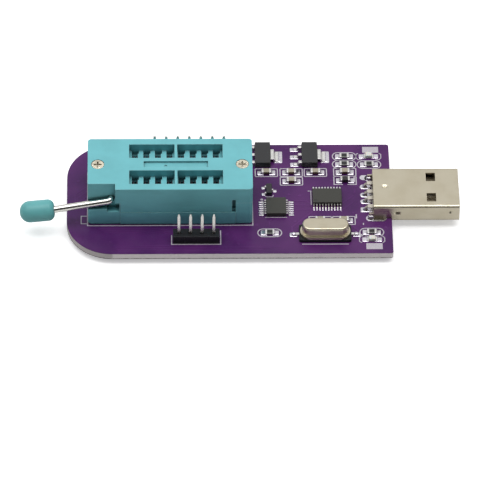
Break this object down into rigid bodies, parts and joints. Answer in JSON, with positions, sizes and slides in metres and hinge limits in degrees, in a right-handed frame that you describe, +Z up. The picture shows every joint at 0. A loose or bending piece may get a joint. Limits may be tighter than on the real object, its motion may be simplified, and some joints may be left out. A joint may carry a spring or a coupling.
{
  "type": "usb programmer board",
  "caption": "USB stick-style programmer board with a lever-operated zero-force chip socket at one end and a flat metal plug at the other.",
  "frame": {"origin": "centre of the plug's mouth, on the plug's own axis", "axes": "+X is the direction in which the plug is pushed into a port, +Z points up from the component side of the board, +Y is to the left when looking along +X"},
  "size_m": [0.0963, 0.0332, 0.0141],
  "materials": {
    "board": "glossy purple solder mask over fibreglass",
    "socket_plastic": "satin moulded plastic",
    "slider_plastic": "satin moulded plastic",
    "knob_plastic": "semi-gloss moulded plastic",
    "lever_steel": "bright nickel-plated steel",
    "screw_metal": "bright plated steel",
    "contact_metal": "plated spring metal",
    "plug_nickel": "satin nickel-plated sheet",
    "tinned_metal": "bright tin plating",
    "black_plastic": "matte moulded plastic",
    "chip_plastic": "fine-textured moulding compound",
    "can_metal": "satin drawn metal",
    "quartz": "clear polished quartz",
    "resistor_film": "dark glazed film on ceramic",
    "capacitor_ceramic": "fired ceramic",
    "ferrite_ceramic": "dark fired ferrite",
    "led_white": "white moulded substrate",
    "led_clear": "clear cast resin"
  },
  "bodies": {
    "main": {"circuit_board": "board", "socket_base": "socket_plastic", "socket_cover": "socket_plastic", "rear_contacts": "contact_metal", "front_contacts": "contact_metal", "socket_screws": "screw_metal", "plug_shell": "plug_nickel", "plug_insulator": "black_plastic", "plug_contacts": "contact_metal", "front_header_strip": "black_plastic", "front_header_pins": "tinned_metal", "rear_header_strip": "black_plastic", "rear_header_pins": "tinned_metal", "controller_body": "chip_plastic", "controller_leads": "tinned_metal", "translator_body": "chip_plastic", "translator_leads": "tinned_metal", "regulator_bodies": "chip_plastic", "regulator_tabs": "tinned_metal", "regulator_leads": "tinned_metal", "transistor_body": "chip_plastic", "transistor_leads": "tinned_metal", "crystal_can": "can_metal", "crystal_header": "can_metal", "crystal_blank": "quartz", "crystal_insulator": "black_plastic", "crystal_leads": "tinned_metal", "resistor_bodies": "resistor_film", "resistor_terminals": "tinned_metal", "capacitor_bodies": "capacitor_ceramic", "capacitor_terminals": "tinned_metal", "ferrite_body": "ferrite_ceramic", "ferrite_terminals": "tinned_metal", "led_bases": "led_white", "led_lenses": "led_clear", "led_terminals": "tinned_metal"},
    "lever": {"lever_rod": "lever_steel", "lever_knob": "knob_plastic"},
    "slider": {"socket_slider": "slider_plastic"}
  },
  "joints": [
    {"name": "lever_turn", "type": "hinge", "parent": "main", "child": "lever", "pos_m": [-0.07635, 0, 0.00545], "axis": [0, 1, 0], "range_deg": [0, 100]},
    {"name": "slider_slide", "type": "slide", "parent": "main", "child": "slider", "axis": [1, 0, 0], "range_m": [0, 0.00091925]}
  ],
  "couplings": [
    {"joint": "lever_turn", "follows": "slider_slide", "rad_per_m": 1898.6}
  ]
}
